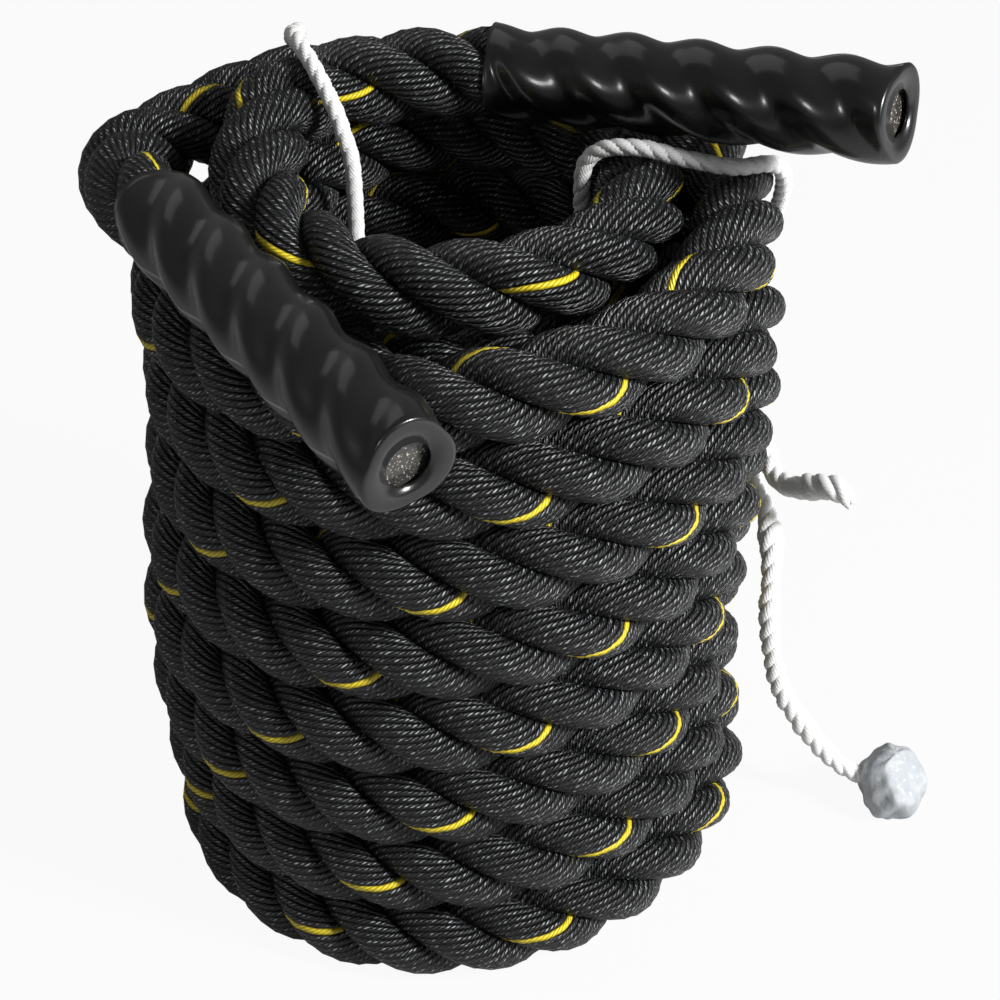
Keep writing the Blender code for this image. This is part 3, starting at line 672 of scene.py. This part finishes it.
def right_tie_points():
    """The right tie's places by radius, angle and height, from its outside leg's foot over the top."""
    outer = top_height(RIGHT_CREST_ANGLE, True)
    inner = top_height(RIGHT_CREST_ANGLE, False)
    return [
        (OUTSIDE_RADIUS, RIGHT_LEG_ANGLE, ROPE_RADIUS),
        (OUTSIDE_RADIUS, RIGHT_LEG_ANGLE, RIGHT_KNOT_HEIGHT),
        (OUTSIDE_RADIUS, RIGHT_LEG_ANGLE, (RIGHT_KNOT_HEIGHT + SWAY_HEIGHT) / 2),
        (OUTSIDE_RADIUS, RIGHT_LEG_ANGLE, SWAY_HEIGHT),
        (OUTSIDE_RADIUS, (RIGHT_LEG_ANGLE + RIGHT_SHOULDER_ANGLE) / 2, outer - ROPE_DIAMETER),
        (OUTSIDE_RADIUS, RIGHT_SHOULDER_ANGLE, outer),
        (OUTER_RADIUS + TIE_REACH * 3 / 4, RIGHT_SHOULDER_ANGLE / 3, outer + TIE_REACH * 3 / 4),
        (OUTER_RADIUS, RIGHT_CREST_ANGLE, outer + TIE_REACH),
        ((OUTER_RADIUS + INNER_RADIUS) / 2, RIGHT_CREST_ANGLE, (outer + inner) / 2 + TIE_REACH),
        (INNER_RADIUS, RIGHT_CREST_ANGLE / 2, inner + TIE_REACH),
        (INNER_RADIUS - TIE_REACH * 3 / 4, RIGHT_INSIDE_ANGLE / 2, inner + TIE_REACH * 3 / 4),
        (INSIDE_RADIUS, RIGHT_INSIDE_ANGLE, inner - TIE_RADIUS),
        (INSIDE_RADIUS, RIGHT_INSIDE_ANGLE, SWAY_HEIGHT),
        (INSIDE_RADIUS, RIGHT_INSIDE_ANGLE, SWAY_HEIGHT / 2),
        (INSIDE_RADIUS, RIGHT_INSIDE_ANGLE, ROPE_RADIUS),
    ]


def back_tie_points(end):
    """The back tie's places. It goes over the coil's inner end and hangs a little clear of the wraps."""
    outer = top_height(BACK_LEG_ANGLE, True)
    outside = OUTSIDE_RADIUS + BACK_OUTSIDE_SLACK
    inside = INSIDE_RADIUS - BACK_INSIDE_SLACK
    end_radius = math.hypot(end.x, end.y)
    crest = end.z + TIE_REACH + TIE_RADIUS
    halfway_up = (outer + TIE_REACH + crest) / 2
    return [
        (outside, BACK_LEG_ANGLE, ROPE_RADIUS),
        (outside, BACK_LEG_ANGLE, SWAY_HEIGHT / 2),
        (outside, BACK_LEG_ANGLE, BACK_KNOT_HEIGHT),
        (outside, BACK_LEG_ANGLE, outer),
        (outside - TIE_REACH / 4, BACK_LEG_ANGLE, outer + TIE_REACH * 3 / 4),
        (outside - TIE_REACH, (3 * BACK_LEG_ANGLE + BACK_CREST_ANGLE) / 4, outer + TIE_REACH),
        (end_radius + TIE_REACH * 3 / 4, (BACK_LEG_ANGLE + BACK_CREST_ANGLE) / 2, halfway_up),
        (end_radius, BACK_CREST_ANGLE, crest),
        (end_radius - TIE_REACH * 3 / 4, (BACK_CREST_ANGLE + BACK_INSIDE_ANGLE) / 2, crest - TIE_REACH / 4),
        (inside + TIE_RADIUS / 2, BACK_INSIDE_ANGLE, end.z),
        (inside, BACK_INSIDE_ANGLE, outer - ROPE_RADIUS),
        (inside, BACK_INSIDE_ANGLE, outer / 2),
        (INSIDE_RADIUS, BACK_INSIDE_ANGLE, ROPE_RADIUS),
    ]


def under_points(inside, outside):
    """A tie's run under the coil, between the feet of its two legs."""
    foot_in = Vector((inside.x, inside.y, UNDER_HEIGHT))
    foot_out = Vector((outside.x, outside.y, UNDER_HEIGHT))
    width = (foot_out - foot_in).length
    return [foot_in.lerp(foot_out, place / width) for place in
            (TIE_DIAMETER, width / 3, 2 * width / 3, width - TIE_DIAMETER)]


def knot_points(centre, outward):
    """A closed overhand knot, as a trefoil that lies against the coil."""
    points = []
    for i in range(KNOT_POINTS):
        t = FULL_TURN * i / KNOT_POINTS
        ring = KNOT_RING_RADIUS + KNOT_TUBE_RADIUS * math.cos(KNOT_LOBES * t)
        sideways = Vector((-outward.y, outward.x, 0)) * ring * math.cos(2 * t)
        upward = Vector((0, 0, ring * math.sin(2 * t)))
        points.append(centre + sideways + upward + outward * KNOT_TUBE_RADIUS * math.sin(KNOT_LOBES * t))
    return points


def tie_material():
    """Matt white cotton with soft, fuzzy yarns, with painted shade between the yarns and random fibre tone.
    """
    surface, tree, shader = new_material("tie_yarn", Sheen_Weight=0.3, Sheen_Roughness=0.5)
    count, metres, _, ridge = yarn_places(tree)
    fibres = yarn_noise(tree, count, metres, per_yarn=3, per_metre=500, detail=2)
    # Painted shade: the groove white darkens the cord between the yarns; the fibre noise adds random tone.
    painted_groove_shade_white, crest_white = (0.88, 0.88, 0.87), (0.95, 0.95, 0.945)
    connect(shader, Base_Color=(ridge * fibres).eased(0.1, 0.6).mix(painted_groove_shade_white, crest_white),
            Roughness=fibres * 0.1 + 0.7, Normal=bumped(tree, 0.8, ridge * 0.25 + fibres * 0.1))
    return surface


tie_yarn = tie_material()

# The cord's lay, its strands' offset and radius as shares of its diameter, tight and slack, and the waves
# along a slack cord: their share of its thickness and their reach.
TIE_LAY_LENGTH = 26 * MM
TIE_YARNS = 8
TIE_SIDES = np.radians(np.arange(0, 360, 36))
TIE_STEP = 2 * MM
TIGHT_SHARES = (0.13, 0.37)
SLACK_SHARES = (0.21, 0.29)
SLACK_WAVE_SHARES = [(0.06, 9 * MM), (0.05, 3.7 * MM)]


def make_cord_piece(name, route, diameter, *nodes, shares=TIGHT_SHARES, bulges=()):
    """A laid cord along a route. bulges are places, widths and amounts of swelling, where a slack cord has
    opened or doubled back."""
    length = route_length(route)
    line = Line(route, np.linspace(0, length, round(length / TIE_STEP)))
    swell = np.ones(len(line.places))
    for place, width, amount in bulges:
        swell += amount * np.exp(-((line.places - place) / width) ** 2)
    if bulges:
        swell += sum(share * np.sin(line.places / reach) for share, reach in SLACK_WAVE_SHARES)
    lay_length = TIE_LAY_LENGTH * diameter / TIE_DIAMETER
    rings, texture = strand_grids(line, diameter, lay_length, TIE_SIDES, TIE_YARNS, swell, shares)
    flatten_on_floor(rings)
    piece = grid_mesh(name, rings, texture, range(STRANDS))
    piece.data.materials.append(tie_yarn)
    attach(piece, "coil")
    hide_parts(*nodes)
    return piece, line.points, length


def make_tie(side, stations, knot_height):
    """A loop of cord round both layers, which starts and ends at its second point, and its knot."""
    loop = [on_circle(*station) for station in stations]
    fine = smooth_curve(loop + under_points(loop[-1], loop[0]), closed=True)
    fine = fine[CURVE_STEPS:-1] + fine[:CURVE_STEPS + 1]
    piece, path, length = make_cord_piece(f"tie_{side}_loop", fine, TIE_DIAMETER, f"tie_{side}")
    radius, angle, _ = stations[0]
    outward = Vector((math.cos(angle), math.sin(angle), 0))
    centre = on_circle(radius + KNOT_TUBE_RADIUS + TIE_DIAMETER - KNOT_PRESS, angle, knot_height)
    knot_route = smooth_curve(knot_points(centre, outward), closed=True)
    knot, _, _ = make_cord_piece(f"tie_{side}_overhand", knot_route, TIE_DIAMETER, f"tie_{side}_knot")


make_tie("right", right_tie_points(), RIGHT_KNOT_HEIGHT)
make_tie("back", back_tie_points(inner_end), BACK_KNOT_HEIGHT)

# Loose tails: what is left of the right tie's cord beyond its knot, slack and 12.5 mm thick, with its
# strands opened and doubled back in places. Routes are in millimetres from the foot of the coil's axis.
SLACK_DIAMETER = 12.5 * MM
SHORT_TAIL_ROUTE = [(188.3, 85.6, 240), (195, 71, 226), (200, 57, 214), (209, 42, 214), (220, 28, 223),
                    (233, 16, 230), (243, 9, 223)]
LONG_TAIL_ROUTE = [(184.4, 87.9, 223.2), (187.5, 81, 206), (192, 66, 197), (197.5, 42, 189),
                   (198.5, 18, 176), (198, -2, 138), (207, -6, 95), (225, -10, 64), (246, -13, 38),
                   (265.3, -15.4, 24.8)]
SHORT_TAIL_BULGES = [(30 * MM, 40 * MM, 0.15), (88 * MM, 20 * MM, 0.4), (113 * MM, 7 * MM, -0.4)]
LONG_TAIL_BULGES = [(80 * MM, 14 * MM, 0.3), (140 * MM, 80 * MM, 0.1), (215 * MM, 14 * MM, 0.25)]
for end, points, bulges in (("short", SHORT_TAIL_ROUTE, SHORT_TAIL_BULGES),
                            ("long", LONG_TAIL_ROUTE, LONG_TAIL_BULGES)):
    fine = smooth_curve([Vector(p) * MM for p in points])
    piece, path, length = make_cord_piece(f"tie_tail_{end}", fine, SLACK_DIAMETER, f"tie_{end}_tail",
                                          shares=SLACK_SHARES, bulges=bulges)

# Melted end: the lump where the long tail's end is melted and pressed between two flat faces. Grey-white,
# uneven and shiny in places. A wave of its lumps is a height, as a share of the radius, and the number of
# waves round it and down it.
MELTED_HALF_SIZE = Vector((44, 46, 51)) * MM / 2
MELTED_PLACE = COIL_AXIS + Vector((285.6, -17.7, 22.3)) * MM
MELTED_RINGS = 48
MELTED_SIDES = 96
POLE_ANGLE = 0.05
LUMP_WAVE_SHARES = [(0.05, 3, 4), (0.04, 5, -3), (0.025, 9, 7)]
PRESSED_DIRECTION = Vector((0.35, -0.6, 0.72)).normalized()
PRESSED_FROM_SHARE = 0.74
PRESSED_AWAY_SHARE = 0.75


def melted_material():
    """Grey-white melted yarn with paler flakes."""
    surface, tree, shader = new_material("melted_yarn", Specular_IOR_Level=0.4)
    place = add_node(tree, "ShaderNodeTexCoord", {}, {}, "Object")
    cloud = noise(tree, place, 90, 4)
    flakes = noise(tree, place, 260, 2)
    deep_grey, pale_grey, flake_white = (0.42, 0.45, 0.48), (0.54, 0.56, 0.58), (0.58, 0.60, 0.61)
    base = cloud.eased(0.35, 0.65).mix(deep_grey, pale_grey)
    connect(shader, Base_Color=flakes.eased(0.58, 0.66).mix(base, flake_white),
            Roughness=cloud * 0.3 + 0.4, Normal=bumped(tree, 0.7, cloud * 2 + flakes * 0.3))
    return surface


def melted_grid():
    """Rings from the bottom to the top of a lumpy ball, flattened on two opposite sides."""
    around = np.linspace(0, FULL_TURN, MELTED_SIDES, endpoint=False)
    pressed = np.array(PRESSED_DIRECTION)
    rings = []
    for down in np.linspace(math.pi - POLE_ANGLE, POLE_ANGLE, MELTED_RINGS):
        waves = sum(share * np.sin(count_round * around + count_down * down)
                    for share, count_round, count_down in LUMP_WAVE_SHARES)
        ball = np.stack([np.sin(down) * np.cos(around), np.sin(down) * np.sin(around),
                         np.full(len(around), math.cos(down))], axis=1)
        ball *= 1 + math.sin(down) * waves[:, None]
        for sign in (1, -1):
            beyond = np.maximum(sign * ball @ pressed - PRESSED_FROM_SHARE, 0)
            ball -= sign * PRESSED_AWAY_SHARE * beyond[:, None] * pressed
        rings.append(np.array(MELTED_PLACE) + ball * np.array(MELTED_HALF_SIZE))
    flatten_on_floor(rings)
    return np.array(rings)


plain_texture = np.zeros((MELTED_RINGS, MELTED_SIDES + 1, 2))
melted_end = grid_mesh("melted_end", [melted_grid()], [plain_texture], [0])
melted_end.data.materials.append(melted_material())
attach(melted_end, "coil")
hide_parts("tie_melted_end")

# Stage: a white floor that goes on without a horizon into a white room. The camera sees both as white, and
# they light the rope only a little. A soft lamp stands at the right, one that shows only as gloss at the
# left, and a weak one behind.
FLOOR_REACH = 4
FLOOR_COLOUR = (0.5, 0.5, 0.5, 1)
WHITE = (1, 1, 1)
ROOM_STRENGTH = 0.15
SEEN_WHITE_SHARE = 0.94
MIRRORED_WHITE_SHARE = 0.1
LAMPS_TARGET = Vector((0, 0, 0.3))


def show_white(tree, rays, plain, kind, output):
    """Shows white in place of the plain shader, to the extent that rays says."""
    white = add_node(tree, kind, {}, {"Color": WHITE, "Strength": 1.0})
    mixed = add_node(tree, "ShaderNodeMixShader", {}, [rays, Socket(tree, plain), white])
    tree.links.new(mixed.output, tree.nodes[output].inputs["Surface"])


def add_light(name, width, height, power, place):
    lamp = bpy.data.lights.new(name, "AREA")
    lamp.shape, lamp.size, lamp.size_y, lamp.energy = "RECTANGLE", width, height, power
    light = bpy.data.objects.new(name, lamp)
    light.location = place
    light.rotation_euler = (LAMPS_TARGET - Vector(place)).to_track_quat("-Z", "Y").to_euler()
    bpy.context.scene.collection.objects.link(light)
    return light


floor_corners = [(-FLOOR_REACH, -FLOOR_REACH, 0), (FLOOR_REACH, -FLOOR_REACH, 0),
                 (FLOOR_REACH, FLOOR_REACH, 0), (-FLOOR_REACH, FLOOR_REACH, 0)]
mesh = bpy.data.meshes.new("floor")
mesh.from_pydata(floor_corners, [], [(0, 1, 2, 3)])
floor = bpy.data.objects.new("floor", mesh)
bpy.context.scene.collection.objects.link(floor)
surface, tree, shader = new_material("floor", Roughness=0.9, Specular_IOR_Level=0.1)
shader.inputs["Base Color"].default_value = FLOOR_COLOUR
rays = add_node(tree, "ShaderNodeLightPath", {}, {}, "Is Camera Ray")
rays = rays * SEEN_WHITE_SHARE + rays.part("Is Glossy Ray") * MIRRORED_WHITE_SHARE
show_white(tree, rays, shader.outputs[0], "ShaderNodeEmission", "Material Output")
floor.data.materials.append(surface)

world = bpy.data.worlds.new("world")
bpy.context.scene.world = world
world.use_nodes = True
room = world.node_tree.nodes["Background"]
room.inputs["Color"].default_value = (*WHITE, 1)
room.inputs["Strength"].default_value = ROOM_STRENGTH
rays = add_node(world.node_tree, "ShaderNodeLightPath", {}, {}, "Is Camera Ray")
show_white(world.node_tree, rays, room.outputs[0], "ShaderNodeBackground", "World Output")

add_light("key", 0.5, 0.5, 80, (1.75, -0.95, 1.5))
shine = add_light("shine", 0.3, 0.3, 5, (-1.3, -1.2, 1.2))
shine.visible_diffuse = False
add_light("back", 1.6, 1.0, 2, (-1.0, 1.2, 1.9))
bpy.context.scene.view_settings.view_transform = "Standard"
